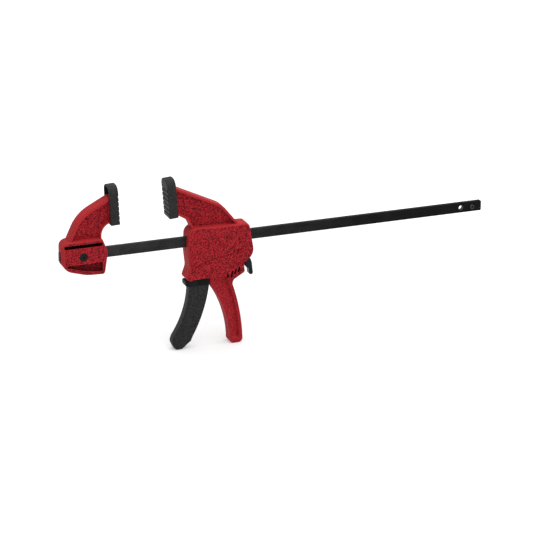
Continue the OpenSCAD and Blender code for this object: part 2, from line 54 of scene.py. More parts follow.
# %% Bench millimetres to frame metres
MM = 0.001
BAR_MIDDLE = 186.5   # from the fixed pad's foot to the middle of the bar
GRIP_DROP = 126.7    # from the bar's middle line down to the grips' tips
HEAD_FRONT = 79.3    # from the fixed pad's foot to the front of the head


def bench(x, y, z):
    return Vector(((x - BAR_MIDDLE) * MM, y * MM, (z + GRIP_DROP) * MM))


def head(x, y, z):
    return bench(x + HEAD_FRONT, y, z)


# %% [markdown]
# ## Outlines
# Every moulding here starts as a side view. A side view is a list of corners
# (x, z, radius), as on a drawing. Two helpers do what a draughtsman does:
# `rounded` swings the arcs into the corners, and `inset` draws a parallel line
# inside the outline. The arcs keep their number of points when the outline is
# inset, so two parallel outlines can be joined by a strip of faces.

# %% Corners to points
ARC_STEP = math.radians(7.5)


def arc_points(before, corner, after):
    p = Vector(corner[:2])
    to_before = (Vector(before[:2]) - p).normalized()
    to_after = (Vector(after[:2]) - p).normalized()
    half = math.acos(max(-1.0, min(1.0, to_before.dot(to_after)))) / 2
    centre = p + (to_before + to_after).normalized() * corner[2] / math.sin(half)
    reach = corner[2] / math.tan(half)
    start, stop = p + to_before * reach - centre, p + to_after * reach - centre
    first = math.atan2(start.y, start.x)
    sweep = math.atan2(stop.y, stop.x) - first
    sweep = (sweep + math.pi) % (2 * math.pi) - math.pi
    steps = max(2, math.ceil(abs(sweep) / ARC_STEP - 0.01))
    turns = [first + sweep * i / steps for i in range(steps + 1)]
    return [(centre.x + corner[2] * math.cos(t), centre.y + corner[2] * math.sin(t))
            for t in turns]


def rounded(corners):
    points = []
    for i, corner in enumerate(corners):
        if corner[2] > 0:
            points += arc_points(corners[i - 1], corner, corners[(i + 1) % len(corners)])
        else:
            points.append(corner[:2])
    return points


# %% A parallel outline
def inset(corners, distance):
    """Moves a clockwise outline inwards; a negative distance moves it out."""
    moved = []
    for i, (x, z, r) in enumerate(corners):
        p = Vector((x, z))
        along = (p - Vector(corners[i - 1][:2])).normalized()
        onward = (Vector(corners[(i + 1) % len(corners)][:2]) - p).normalized()
        inward, inward_next = Vector((along.y, -along.x)), Vector((onward.y, -onward.x))
        q = p + (inward + inward_next) * distance / (1 + inward.dot(inward_next))
        convex = along.x * onward.y - along.y * onward.x < 0
        new_r = 0 if r == 0 else max(0.15, r - distance if convex else r + distance)
        moved.append((q.x, q.y, new_r))
    return moved


def inset_walls(corners, walls):
    """Like inset, but each edge moves by its own distance; edge i runs from corner i."""
    moved = []
    for i, (x, z, r) in enumerate(corners):
        p, before, after = Vector((x, z)), walls[i - 1], walls[i]
        along = (p - Vector(corners[i - 1][:2])).normalized()
        onward = (Vector(corners[(i + 1) % len(corners)][:2]) - p).normalized()
        n1, n2 = Vector((along.y, -along.x)), Vector((onward.y, -onward.x))
        k = n1.dot(n2)
        q = p + (n1 * (before - after * k) + n2 * (after - before * k)) / (1 - k * k)
        convex = along.x * onward.y - along.y * onward.x < 0
        new_r = max(0.2, r - max(before, after) if convex else r + before) if r else 0
        moved.append((q.x, q.y, new_r))
    return moved


def bow(start, stop, bulge, steps=10):
    """Corners along a shallow arc that bulges to the left of start-to-stop."""
    a, b = Vector(start), Vector(stop)
    side = Vector((a.y - b.y, b.x - a.x)).normalized()
    points = [a.lerp(b, i / steps) + side * bulge * 4 * i * (steps - i) / steps**2
              for i in range(steps + 1)]
    return [(p.x, p.y, 0) for p in points]


# %% [markdown]
# ## From outline to moulding
# A plate with a rounded edge could be made with a Bevel modifier, but a bevel
# gets into trouble where an arc is tighter than the bevel is wide. Here the
# rounding is drawn instead: ring after ring of the inset outline climbs a
# quarter circle, and strips of faces join the rings. That gives clean, even
# faces on any outline.

# %% Rings of points to a closed mesh
def mesh_object(name, points, faces):
    mesh = bpy.data.meshes.new(name)
    mesh.from_pydata([tuple(p) for p in points], [], faces)
    shape = bmesh.new()
    shape.from_mesh(mesh)
    bmesh.ops.recalc_face_normals(shape, faces=shape.faces)
    shape.to_mesh(mesh)
    shape.free()
    thing = bpy.data.objects.new(name, mesh)
    bpy.context.scene.collection.objects.link(thing)
    return thing


def skin(name, rings):
    n = len(rings[0])
    faces = [tuple(range(n)), tuple(range(len(rings) * n - n, len(rings) * n))]
    for k in range(len(rings) - 1):
        for i in range(n):
            j = (i + 1) % n
            faces.append((k * n + i, k * n + j, k * n + n + j, k * n + n + i))
    return mesh_object(name, [p for ring in rings for p in ring], faces)


# %% A plate with quarter-round edges
def quarter(radius, steps):
    """(inset, depth) pairs from the flat face to the full outline."""
    if radius <= 0:
        return [(0, 0)]
    turns = [math.pi / 2 * i / steps for i in range(steps + 1)]
    return [(radius * (1 - math.sin(t)), radius * (1 - math.cos(t))) for t in turns]


def plate(name, corners, low, high, edge_low=0.0, edge_high=0.0, to_frame=bench, steps=5):
    """A moulded plate between y = low and y = high; to_frame places it."""
    levels = [(t, low + d) for t, d in quarter(edge_low, steps)]
    levels += [(t, high - d) for t, d in reversed(quarter(edge_high, steps))]
    rings = [[to_frame(x, y, z) for x, z in rounded(inset(corners, t))] for t, y in levels]
    return skin(name, rings)


def box(name, low, high, to_frame=bench):
    corners = [(low[0], low[2], 0), (low[0], high[2], 0), (high[0], high[2], 0),
               (high[0], low[2], 0)]
    return plate(name, corners, low[1], high[1], to_frame=to_frame)


def rod(name, x, z, radius, low, high, to_frame=bench, edge=0.0, sides=40):
    """A round rod along y, with an edge radius on both ends."""
    levels = [(t, low + d) for t, d in quarter(edge, 3)]
    levels += [(t, high - d) for t, d in reversed(quarter(edge, 3))]
    turns = [2 * math.pi * i / sides for i in range(sides)]
    rings = [[to_frame(x + (radius - t) * math.cos(a), y, z + (radius - t) * math.sin(a))
              for a in turns] for t, y in levels]
    return skin(name, rings)


# %% [markdown]
# ## Joining and cutting
# The mouldings are joined and pocketed with Boolean modifiers, which are
# applied at once so that the next step sees a plain mesh. A pocket's mouth on
# a real moulding is never knife-sharp: the cutter flares out at the surface,
# which leaves a rounded rim, and its bottom is rounded as well.

# %% Boolean steps
def settle(thing):
    """Replaces an object's mesh by what its modifiers make of it."""
    graph = bpy.context.evaluated_depsgraph_get()
    mesh = bpy.data.meshes.new_from_object(thing.evaluated_get(graph))
    thing.modifiers.clear()
    thing.data = mesh


def combine(base, tools, operation):
    for tool in tools:
        step = base.modifiers.new("step", "BOOLEAN")
        step.operation, step.object, step.solver = operation, tool, "EXACT"
        settle(base)
        bpy.data.objects.remove(tool)
    return base


def join(base, *tools):
    return combine(base, tools, "UNION")


def cut(base, *tools):
    return combine(base, tools, "DIFFERENCE")


def keep_within(base, *tools):
    return combine(base, tools, "INTERSECT")


def pocket(name, corners, surface, floor, rim=0.5, bottom=0.5, to_frame=bench):
    """A cutter for a pocket whose mouth is at y = surface and bottom at y = floor."""
    way = 1 if floor > surface else -1
    flare = [(-t, surface + way * d) for t, d in quarter(rim, 3)]
    levels = [(flare[0][0], surface - way)] + [(t, y) for t, y in flare]
    levels += [(t, floor - way * d) for t, d in reversed(quarter(bottom, 3))]
    rings = [[to_frame(x, y, z) for x, z in rounded(inset(corners, t))] for t, y in levels]
    return skin(name, rings)


# %% Smooth shading with crisp creases
CREASE = math.radians(32)
MERGE_DISTANCE = 2e-6    # metres; closer points are left over from a Boolean step


def shade(thing):
    shape = bmesh.new()
    shape.from_mesh(thing.data)
    bmesh.ops.remove_doubles(shape, verts=shape.verts, dist=MERGE_DISTANCE)
    bmesh.ops.dissolve_degenerate(shape, edges=shape.edges, dist=MERGE_DISTANCE)
    for face in shape.faces:
        face.smooth = True
    for edge in shape.edges:
        edge.smooth = edge.calc_face_angle(math.pi) < CREASE
    shape.to_mesh(thing.data)
    shape.free()
    even = thing.modifiers.new("even normals", "WEIGHTED_NORMAL")
    even.keep_sharp = True
    even.weight = 80
    print(thing.name, len(thing.data.polygons), "faces")
    return thing


# %% [markdown]
# ## Nodes written as sums
# A material is a small calculation for each point of a surface. `Signal` wraps
# a socket so that the calculation can be written as Python arithmetic, and
# `Recipe.node` adds any other node. What is the same all over a surface is set
# on the shader's own socket.

# %% Signals and recipes
class Signal:
    def __init__(self, recipe, socket):
        self.recipe, self.socket = recipe, socket

    def _math(self, operation, first, second):
        return self.recipe.node("ShaderNodeMath", {"operation": operation}, [first, second])

    def __add__(self, other):
        return self._math("ADD", self, other)

    def __rsub__(self, other):
        return self._math("SUBTRACT", other, self)

    def __mul__(self, other):
        return self._math("MULTIPLY", self, other)

    __radd__, __rmul__ = __add__, __mul__


class Recipe:
    def __init__(self, name, **constants):
        self.material = bpy.data.materials.new(name)
        self.material.use_nodes = True
        self.tree = self.material.node_tree
        self.shader = self.tree.nodes["Principled BSDF"]
        for socket, value in constants.items():
            self.shader.inputs[socket.replace("_", " ")].default_value = value

    def node(self, kind, settings=None, values=None, output=0):
        made = self.tree.nodes.new(kind)
        for key, value in (settings or {}).items():
            setattr(made, key, value)
        pairs = values.items() if isinstance(values, dict) else enumerate(values or [])
        for socket, value in pairs:
            if isinstance(value, Signal):
                self.tree.links.new(value.socket, made.inputs[socket])
            else:
                made.inputs[socket].default_value = value
        return Signal(self, made.outputs[output])

    def feed(self, socket, signal):
        self.tree.links.new(signal.socket, self.shader.inputs[socket])

    def mix(self, mask, first, second):
        """Colours mixed by a mask: first where it is 0, second where it is 1."""
        return self.node("ShaderNodeMix", {"data_type": "RGBA"}, {0: mask, 6: first, 7: second},
                         output=2)

    def band(self, value, low, high):
        """0 below low, 1 above high, and a smooth step between."""
        return self.node("ShaderNodeMapRange", {"interpolation_type": "SMOOTHSTEP"},
                         {"Value": value, "From Min": low, "From Max": high})

    def noise(self, where, scale, detail=2.0, roughness=0.5):
        return self.node("ShaderNodeTexNoise", {"noise_dimensions": "3D"},
                         {"Vector": where, "Scale": scale, "Detail": detail,
                          "Roughness": roughness})

    def bump(self, height, strength, distance):
        self.feed("Normal", self.node("ShaderNodeBump", {},
                                      {"Strength": strength, "Distance": distance,
                                       "Height": height}))

    def here(self):
        return self.node("ShaderNodeTexCoord", output=3)

    def along(self, where, axis):
        return self.node("ShaderNodeSeparateXYZ", {}, [where], output=axis)

    def stretched(self, where, x, y, z):
        return self.node("ShaderNodeVectorMath", {"operation": "MULTIPLY"},
                         [where, (x, y, z)])


# %% [markdown]
# ## Colours
# A colour picked on a screen is coded for the eye. Shaders want the amount of
# light, so each code is turned into linear values first.

# %% Screen colours to linear light
def light_of(r, g, b):
    def channel(c):
        c /= 255
        return c / 12.92 if c <= 0.04045 else ((c + 0.055) / 1.055) ** 2.4
    return (channel(r), channel(g), channel(b), 1.0)


# %% [markdown]
# ## Red plastic
# The jaws and the handle are moulded in glass-filled nylon. Their broad faces
# come from a spark-eroded mould and have a grain of fine pits; the rims and
# edges are smoother. The grain is a cell pattern for the bump, and the pits
# hold less light, so they are a little darker too. Such a grain hardly mirrors
# anything, so the specular level is near 0. The handle is rubbed a little paler.
# One function makes four recipes: for the grained faces, for the smooth rims,
# and two darker ones that paint the shade inside pockets and narrow slots.

# %% Red plastic recipes
PIT_CELLS, PIT_SPECKLE = 1150.0, 1130.0    # pits per metre
RUBBED_BELOW, CLEAN_ABOVE = 0.045, 0.1     # metres above the floor
RUBBED_RED = light_of(206, 52, 60)


def red_plastic(name, grain, deep, plain, flat):
    r = Recipe(name, Roughness=0.5, Specular_IOR_Level=0.03)
    where = r.here()
    cells = r.node("ShaderNodeTexVoronoi", {"feature": "F1"},
                   {"Vector": where, "Scale": PIT_CELLS})
    speckle = r.noise(where, PIT_SPECKLE, 1.0, 0.5)
    broad = r.noise(where, 38.0, 3.0)
    pits = r.band(speckle, 0.38, 0.62)
    colour = r.mix(grain, flat, r.mix(pits, deep, plain))
    toned = r.mix(r.band(broad, 0.3, 0.7) * 0.14, colour, deep)
    worn = 1 - r.band(r.along(where, "Z"), RUBBED_BELOW, CLEAN_ABOVE)
    r.feed("Base Color", r.mix(worn * (0.16 * grain), toned, RUBBED_RED))
    r.feed("Roughness", 0.55 - 0.1 * speckle)
    r.bump(cells * 0.5 + speckle, 0.12 + 0.6 * grain, 0.0002)
    return r.material


RED_GRAIN = red_plastic("red plastic, grained", 1.0, light_of(82, 15, 23),
                        light_of(200, 48, 56), light_of(170, 40, 46))
RED_SMOOTH = red_plastic("red plastic, smooth rim", 0.2, light_of(90, 16, 24),
                         light_of(200, 56, 60), light_of(186, 50, 54))
# The pocket and slot recipes are painted shade: darker reds that stand in for the shade inside
# recesses.
RED_POCKET_PAINTED_SHADE = red_plastic("red plastic, painted shade in a pocket", 0.9, light_of(48, 8, 14),
                         light_of(160, 38, 46), light_of(110, 22, 28))
RED_SLOT_PAINTED_SHADE = red_plastic("red plastic, painted deep shade in a slot", 0.5, light_of(14, 2, 3),
                       light_of(60, 12, 14), light_of(34, 5, 7))

# %% [markdown]
# ## Black rubber and black plastic
# The pads and the sleeve on the trigger are soft and matt, with a fine grain.
# The trigger's collar and the release lever are hard and smooth, so they show
# soft reflections of what is round them.

# %% Rubber and plastic recipes
def rubber(name, dark, pale, scale, depth):
    r = Recipe(name, Roughness=0.62, Specular_IOR_Level=0.2)
    where = r.here()
    grain = r.noise(where, scale, 2.0, 0.65)
    broad = r.noise(where, 60.0, 2.0)
    r.feed("Base Color", r.mix(r.band(grain, 0.38, 0.66), dark, pale))
    r.feed("Roughness", 0.52 + 0.2 * broad)
    r.bump(grain, 0.55, depth)
    return r.material


PAD_RUBBER = rubber("pad rubber", light_of(20, 21, 22), light_of(46, 46, 47), 900.0, 0.00018)
GRIP_RUBBER = rubber("grip rubber", light_of(6, 7, 7), light_of(50, 50, 51), 1000.0, 0.00022)


def black_plastic(name, colour, roughness, mirror):
    r = Recipe(name, Roughness=roughness, Specular_IOR_Level=mirror)
    where = r.here()
    broad = r.noise(where, 90.0, 3.0)
    fine = r.noise(where, 700.0, 2.0)
    r.feed("Base Color", r.mix(r.band(broad, 0.3, 0.75), colour, light_of(28, 32, 32)))
    r.feed("Roughness", roughness + 0.1 * fine)
    r.bump(fine, 0.12, 0.0001)
    return r.material


COLLAR_PLASTIC = black_plastic("trigger plastic", light_of(10, 12, 12), 0.42, 0.08)
LEVER_PLASTIC = black_plastic("lever plastic", light_of(12, 14, 15), 0.18, 0.14)

# %% [markdown]
# ## Steel
# The bar is blackened steel: an oxide coat with faint marks along its length
# from drawing, and bare steel in the drilled hole. It is painted paler towards
# the fixed jaw and darker towards the far end, a painted reflection. Screws are
# blackened too, the stop pin is grey spring steel, and the plates and pins
# inside are bright zinc.

# %% Steel recipes
def black_oxide(name, dark, pale, roughness, mirror=0.12, painted_reflection_dark_end=None, bare_hole=None):
    r = Recipe(name, Roughness=roughness, Specular_IOR_Level=mirror)
    where = r.here()
    drawn = r.noise(r.stretched(where, 40.0, 1500.0, 1500.0), 1.0, 4.0, 0.6)
    cloud = r.noise(where, 55.0, 4.0, 0.6)
    mottle = r.noise(where, 900.0, 2.0)
    tone = r.band(cloud * 0.4 + drawn * 0.3 + mottle * 0.3, 0.38, 0.62)
    colour = r.mix(tone, dark, pale)
    # Painted reflection: the colour darkens from the fixed jaw towards the far end of the bar.
    if painted_reflection_dark_end:
        colour = r.mix(r.band(r.along(where, "X"), -0.22, 0.2), colour, r.mix(tone, *painted_reflection_dark_end))
    if bare_hole:
        offset = r.node("ShaderNodeVectorMath", {"operation": "SUBTRACT"}, [where, bare_hole])
        reach = r.node("ShaderNodeVectorMath", {"operation": "LENGTH"},
                       [r.stretched(offset, 1.0, 0.0, 1.0)], output=1)
        colour = r.mix(r.band(reach, 0.00275, 0.00295), light_of(92, 94, 96), colour)
    r.feed("Base Color", colour)
    r.feed("Roughness", roughness - 0.08 + 0.2 * drawn)
    r.bump(drawn * 0.6 + mottle * 0.4, 0.3, 0.00008)
    return r.material


def bright_zinc(name):
    r = Recipe(name, Metallic=1.0, Roughness=0.35)
    where = r.here()
    cloud = r.noise(where, 220.0, 3.0)
    r.feed("Base Color", r.mix(cloud, light_of(150, 152, 155), light_of(196, 198, 200)))
    r.feed("Roughness", 0.28 + 0.2 * cloud)
    return r.material


# The bar's darker far end is a painted reflection, paler towards the fixed jaw.
BAR_STEEL = black_oxide("bar black oxide", light_of(30, 31, 32), light_of(56, 56, 57), 0.5, 0.08,
                        painted_reflection_dark_end=(light_of(2, 2, 3), light_of(16, 16, 17)),
                        bare_hole=(0.228, 0.0, 0.1267))
SCREW_STEEL = black_oxide("screw black oxide", light_of(10, 15, 14), light_of(26, 33, 31), 0.42)
PIN_STEEL = black_oxide("stop pin steel", light_of(44, 46, 47), light_of(72, 74, 75), 0.4, 0.2)
ZINC = bright_zinc("bright zinc")

# %% [markdown]
# ## Steel pieces from the frame
# The bar, its pin, the screws, the plates and the springs already have their
# true shape in the CAD model, so they only need their finish.

# %% Finish the frame's steel pieces
FINISHES = {
    BAR_STEEL: ["bar"],
    SCREW_STEEL: ["body_screws", "handle_screws"],
    PIN_STEEL: ["stop_pin"],
    ZINC: ["jaw_nut", "trigger_pivot_pin", "drive_plate_front", "drive_plate_rear",
           "drive_spring", "brake_plate", "brake_spring"],
}


def finish(thing, *materials):
    thing.data.materials.clear()
    for material in materials:
        thing.data.materials.append(material)


for material, names in FINISHES.items():
    for name in names:
        finish(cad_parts[name], material)
    print(material.name, "on", ", ".join(names))

# %% [markdown]
# ## The pads
# Each pad is a soft cap that is pushed over a plate on the end of its jaw. Its
# face has cross ribs so that it doesn't slip, its top corners are rounded, and
# its back is open. It is drawn once, facing +x at x = 0 with its foot at
# z = 0, and then leaned and set in place. The other pad is its mirror image.

# %% One pad
PAD_W, PAD_H, PAD_T = 21.2, 45.0, 10.5
PAD_WALL, SOCKET_DEPTH = 2.2, 6
RIB_GROOVES, RIB_PITCH, GROOVE_HALF, GROOVE_REACH = 6, 5.4, 0.8, 12
FIXED_PAD, MOVING_PAD = (0.9, 32.8), (58.3, 31.8)    # foot of each face
FIXED_LEAN, MOVING_LEAN = math.radians(2.2), math.radians(4.2)


def arch(half, low, high, r_low, r_high):
    return [(-half, low, r_low), (-half, high, r_high), (half, high, r_high), (half, low, r_low)]


def on_fixed_pad(y, x, z):
    c, s = math.cos(FIXED_LEAN), math.sin(FIXED_LEAN)
    return bench(FIXED_PAD[0] + x * c - z * s, y, FIXED_PAD[1] + x * s + z * c)


def on_moving_pad(y, x, z):
    c, s = math.cos(MOVING_LEAN), math.sin(MOVING_LEAN)
    return bench(MOVING_PAD[0] - x * c - z * s, y, MOVING_PAD[1] - x * s + z * c)


def make_pad(name, to_frame):
    pad = plate(name, arch(PAD_W / 2, 0, PAD_H, 1.5, 8), -PAD_T, 0, 0.9, 0.7, to_frame, 4)
    socket = pocket("socket", arch(PAD_W / 2 - PAD_WALL, PAD_WALL, PAD_H - PAD_WALL, 0.8, 5.8),
                    -PAD_T, -PAD_T + SOCKET_DEPTH, 0.4, 0.3, to_frame)
    cut(pad, socket)
    for i in range(1, RIB_GROOVES + 1):
        middle = i * RIB_PITCH
        across = arch(GROOVE_REACH, middle - GROOVE_HALF, middle + GROOVE_HALF, 0, 0)
        cut(pad, plate("groove", across, -1.0, 1.0, 0.35, 0, to_frame, 2))
    shade(pad)
    finish(pad, PAD_RUBBER)
    return pad


fixed_pad = make_pad("pad_on_fixed_jaw", on_fixed_pad)
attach(fixed_pad, "bar_assembly")
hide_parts("fixed_jaw_pad")
moving_pad = make_pad("pad_on_moving_jaw", on_moving_pad)
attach(moving_pad, "head")
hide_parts("moving_jaw_pad")


# %% [markdown]
# The jaw's end fills the pad's socket with a plate, and everything of the jaw
# that would stand in the pad is cut away at the pad's back.

# %% Jaw ends
def jaw_end(to_frame):
    end = plate("end", arch(PAD_W / 2 - 2.3, 2.3, PAD_H - 13, 0.7, 3), -PAD_T + 0.8,
                -PAD_T + 5.9, to_frame=to_frame)
    return join(end, plate("tenon", arch(5.5, 4, 29, 0.3, 0.3), -PAD_T - 0.7, -PAD_T + 1.5,
                           to_frame=to_frame))


def pad_space(to_frame):
    return plate("space", arch(60, -60, 120, 0, 0), -PAD_T - 0.1, 60, to_frame=to_frame)


# %% [markdown]
# ## The fixed jaw
# A block sits over the end of the bar, and an arm of I section rises from it:
# a thin web between two flanges, which is stiff for little plastic. The block
# has a slot and a three-sided pocket in each side, for an even wall.

# %% Fixed jaw outlines
FIXED_ARM = [(-60.8, 12, 0), (-44.9, 46.6, 45), (-5, 67.2, 0), (-5, 35.6, 0),
             (-19.6, 35.6, 14.2), (-19.6, 12, 0)]
FIXED_WALLS = [3.8, 3.8, 2.2, 2.2, 2.2, 2.2]
BLOCK_HALF, BLOCK_BACK, BLOCK_END_RADIUS = 10.0, -65.9, 6
FIXED_BLOCK = [(BLOCK_BACK, 18.9, 10), (-19.4, 18.9, 3.2), (-13.1, 3, 12),
               (-17.2, -22.8, 3.5), (-38, -22, 40), (BLOCK_BACK, -13.7, 15)]
BLOCK_SLOT = [(-63.2, 14.8, 1.8), (-19.4, 14.8, 1.8), (-19.4, 11, 1.8), (-63.2, 11, 1.8)]
BLOCK_POCKET = [(-60, -8.2, 1), (-20, -8.1, 1.2), (-20, -19, 1.6), (-41, -16.3, 20),
                (-60, -10.6, 1)]
ARM_HALF, WEB_HALF = 7.0, 2.2
JAW_HOLE_X = -41.5


# %% Build the fixed jaw
def both_sides(corners, surface, floor, rim, bottom, to_frame=bench):
    return [pocket("pocket", corners, side * surface, side * floor, rim, bottom, to_frame)
            for side in (-1, 1)]


def hexagon(x, z, across):
    radius = across / 2 / math.cos(math.pi / 6)
    return [(x + radius * math.cos(-math.pi / 3 * i), z + radius * math.sin(-math.pi / 3 * i), 0)
            for i in range(6)]


def from_above(x, y, z):
    """Places a plate that is drawn in plan: its z is the bench's y, its y is the height."""
    return bench(x, z, y)


fixed_arm = plate("fixed_jaw_moulding", FIXED_ARM, -ARM_HALF, ARM_HALF, 1.2, 1.2)
cut(fixed_arm, *both_sides(inset_walls(FIXED_ARM, FIXED_WALLS), ARM_HALF, WEB_HALF, 0.5, 0.9))
cut(fixed_arm, pad_space(on_fixed_pad))
block = plate("block", FIXED_BLOCK, -BLOCK_HALF, BLOCK_HALF, 2.2, 2.2)
keep_within(block, plate("plan", [(BLOCK_BACK, -BLOCK_HALF - 0.01, BLOCK_END_RADIUS),
                                  (BLOCK_BACK, BLOCK_HALF + 0.01, BLOCK_END_RADIUS),
                                  (0, BLOCK_HALF + 0.6, 0), (0, -BLOCK_HALF - 0.6, 0)],
                         -30, 30, to_frame=from_above))
join(fixed_arm, jaw_end(on_fixed_pad), block)
cut(fixed_arm, box("bar way", (-70, -2.6, -6.1), (0, 2.6, 6.1)))
cut(fixed_arm, *both_sides(BLOCK_SLOT, BLOCK_HALF, 2.5, 0.35, 0.4),
    *both_sides(BLOCK_POCKET, BLOCK_HALF, 4, 0.4, 0.5))
cut(fixed_arm, rod("hole", JAW_HOLE_X, 0, 2.65, -12, 12),
    rod("counterbore", JAW_HOLE_X, 0, 4.9, -12, -7.3),
    plate("nut pocket", hexagon(JAW_HOLE_X, 0, 8.2), 5.6, 12))


# %% [markdown]
# The broad faces get the grained recipe and the rims the smooth one. A face is
# broad when it looks sideways and isn't on a flange, which stands at a known
# height from the middle plane. What lies inside a pocket's outline and below
# the surface gets a painted-shade recipe: a darker red that stands in for shade.

# %% Grain on the broad faces
SMOOTH, GRAINED, IN_POCKET_PAINTED_SHADE, IN_SLOT_PAINTED_SHADE = range(4)    # the order of the four recipes


def inside(corners, x, z):
    """Counts the outline's edges to the right of a point: an odd count is inside."""
    hit = False
    for (x0, z0), (x1, z1) in zip(corners, corners[1:] + corners[:1]):
        if (z0 > z) != (z1 > z) and x < x0 + (x1 - x0) * (z - z0) / (z1 - z0):
            hit = not hit
    return hit


def paint_red(thing, rim_heights, pockets, origin):
    finish(thing, RED_SMOOTH, RED_GRAIN, RED_POCKET_PAINTED_SHADE, RED_SLOT_PAINTED_SHADE)
    outlines = [([p[:2] for p in inset(corners, -0.15)], surface, kind)
                for corners, surface, kind in pockets]
    for face in thing.data.polygons:
        height = abs(face.center.y) / MM
        x, z = (face.center.x - origin.x) / MM, (face.center.z - origin.z) / MM
        on_rim = any(abs(height - rim) < 0.25 for rim in rim_heights)
        kind = GRAINED if abs(face.normal.y) > 0.9 and not on_rim else SMOOTH
        # Inside a pocket or slot, a painted-shade recipe replaces the others.
        for corners, surface, painted_shade_kind in outlines:
            if 2.3 < height < surface - 0.3 and inside(corners, x, z):
                kind = painted_shade_kind
        face.material_index = kind


shade(fixed_arm)
# The block's slot and pockets get painted shade.
paint_red(fixed_arm, [ARM_HALF], [(BLOCK_SLOT, BLOCK_HALF, IN_SLOT_PAINTED_SHADE),
                                  (BLOCK_POCKET, BLOCK_HALF, IN_POCKET_PAINTED_SHADE)], bench(0, 0, 0))
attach(fixed_arm, "bar_assembly")
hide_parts("fixed_jaw")

# %% [markdown]
# ## The jaw screw
# A low round head with a hexagon socket sits in a counterbore, flush with the
# side of the block. Its rim is broken by a small radius.

# %% Build the jaw screw
screw = rod("jaw_screw_steel", JAW_HOLE_X, 0, 4.7, -9.8, -7.4, edge=0.5)
cut(screw, plate("socket", hexagon(JAW_HOLE_X, 0, 3), -12, -9.0))
join(screw, rod("shank", JAW_HOLE_X, 0, 2.5, -7.6, 9.2, edge=0.3))
shade(screw)
finish(screw, SCREW_STEEL)
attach(screw, "bar_assembly")
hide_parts("jaw_screw")

# %% [markdown]
# ## The head
# The head is two shells that meet in the middle plane: body, moving arm and
# handle in one piece each. The upper panel of the body stands a little proud
# of the lower part along a sweeping line. The handle has a long recess, and
# four short louvres run into the body above it. One shell is modelled and the
# other is its mirror image; only the far one has counterbores for the screws.

# %% Head outlines
MOVING_ARM = [(-25, 72.3, 0), (42.3, 39.7, 25), (66, 9.7, 0), (9.2, 9.7, 0),
              (1.2, 27.2, 7), (-25, 42.9, 0)]
MOVING_WALLS = [2.8, 2.8, 2.2, 2.2, 2.2, 2.2]
BODY = [(1.1, 18, 10), (72.9, 16.1, 5.5), (78.9, -21, 14), (66.3, -30.9, 1), (67.5, -41.3, 3),
        (53.5, -49.3, 2.5), (44, -43.8, 0), (6, -43.8, 0), (3.4, -45.4, 2.4),
        (-2.4, -42.6, 2.6), (2, -30, 12), (0, -12, 30)]
BELOW_PANEL = [(-20, -54, 0), (12, -25.2, 25), (28, -20.4, 50), (54.7, -16.6, 50),
               (90, 3.5, 0), (90, -70, 0), (-20, -70, 0)]
TIP = -GRIP_DROP
HANDLE = ([(26.6, -40, 0), (56, -40, 0), (57.9, -45.5, 0), (53.8, -52, 6)]
          + bow((53.4, -55), (65, TIP + 6), 2.4)
          + [(65.3, TIP, 5.5), (49.2, TIP, 4.5)]
          + bow((49.8, TIP + 6), (34.3, -64.5), -3.3) + [(26.6, -52, 0)])
CAVITY = [(4, 15, 1), (70, 13, 4), (77, -19.9, 11), (63.6, -29.5, 0), (33.8, -29.5, 0),
          (33.8, -40.7, 0), (2, -40.7, 0), (5.2, -30, 13), (3, -12, 27)]
TRIGGER_WELL = [(3.6, -34, 0), (32.2, -34, 0), (32.2, -62, 0), (3.6, -62, 0)]
LEVER_GATE = [(66, -21.6, 0), (73.2, -21.6, 0), (75, -23.8, 0), (84, -31, 0),
              (84, -37, 0), (66, -37, 0)]
LOUVRES = [(46.9, -43.6, 4.6, -18), (51.6, -42.3, 8.4, 13), (55.8, -39.4, 6.4, 13),
           (60, -37.8, 5.8, 13)]
PANEL_HALF, BODY_HALF, HANDLE_HALF, CAVITY_HALF, WELL_HALF = 11.0, 10.2, 8.0, 8.4, 7.0
PIVOT = (15.7, -24)
LOUVRE_HALF, LOUVRE_END, LOUVRE_FLOOR = 1.05, 0.8, -6.4
PILOT_RADIUS, SHANK_WAY_RADIUS, COUNTERBORE_RADIUS = 1.45, 1.5, 3.0
BODY_SCREWS = [(9.2, 12), (56.2, 12), (58.7, -36.5)]
HANDLE_SCREWS = [(46.5, -66), (55.6, -112)]


# %% [markdown]
# The recess in the handle isn't flat. It starts level with the front edge and
# sinks towards the rear, where a rim stands up for the palm. The cutter is a
# loft: the same small section at many heights, each stretched to the handle's
# width there. It closes over a short rounded stretch at the lower end.

# %% The cutter for the handle's recess
RECESS_REAR = [(45.4, -40), (46.6, -47)] + [p[:2] for p in bow((48.2, -52), (60.6, TIP + 9), 2.6)]
RECESS_FRONT = [(33.6, -40), (33.8, -56)] + [p[:2] for p in bow((36.2, -63), (51, TIP + 9), 3.2)]
RECESS_DEPTH = 3.6


def x_at(curve, z):
    for (x0, z0), (x1, z1) in zip(curve, curve[1:]):
        if z1 <= z <= z0:
            return x0 + (x1 - x0) * (z0 - z) / (z0 - z1)
    return curve[-1][0] if z < curve[-1][1] else curve[0][0]


